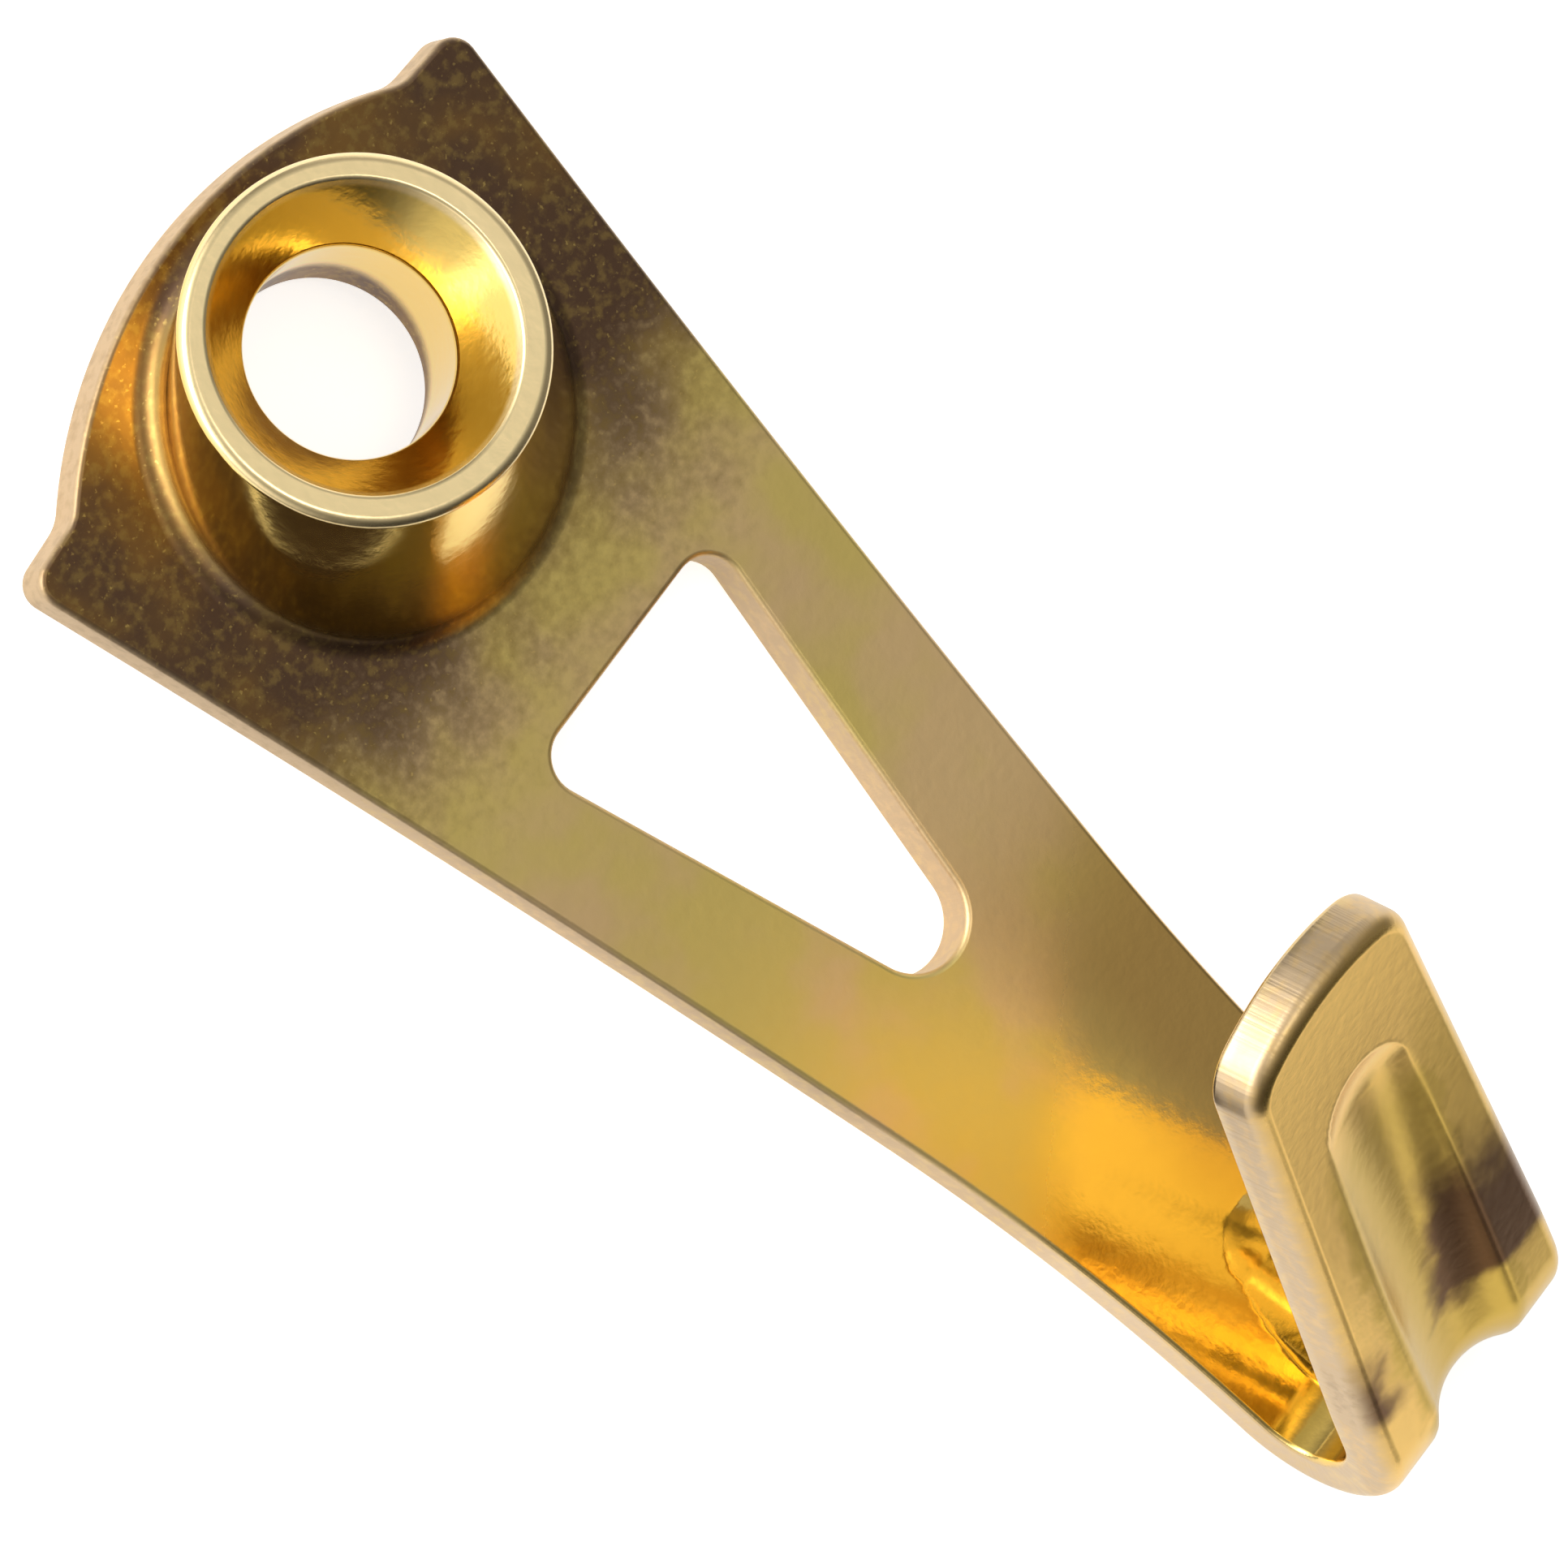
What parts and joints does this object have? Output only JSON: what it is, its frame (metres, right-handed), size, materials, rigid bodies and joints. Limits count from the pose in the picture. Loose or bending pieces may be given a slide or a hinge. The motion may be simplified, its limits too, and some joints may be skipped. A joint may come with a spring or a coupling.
{
  "type": "picture hook",
  "caption": "Folded sheet picture hook: flared nail plate with a leaning nail boss, triangular cut-out and a rising tongue with a pressed dart.",
  "frame": {"origin": "centre of the bounding box in X and Y, on the plane of the wall-side face", "axes": "+Y up the hook towards the wide nail end, +Z out of the wall side towards the front, X = 0 is the plane of symmetry"},
  "size_m": [0.0108, 0.0262, 0.0101],
  "materials": {
    "brass_plate": "bright yellow plating over steel, polished with fine mottling"
  },
  "bodies": {
    "root": {"picture_hook": "brass_plate"}
  },
  "joints": []
}
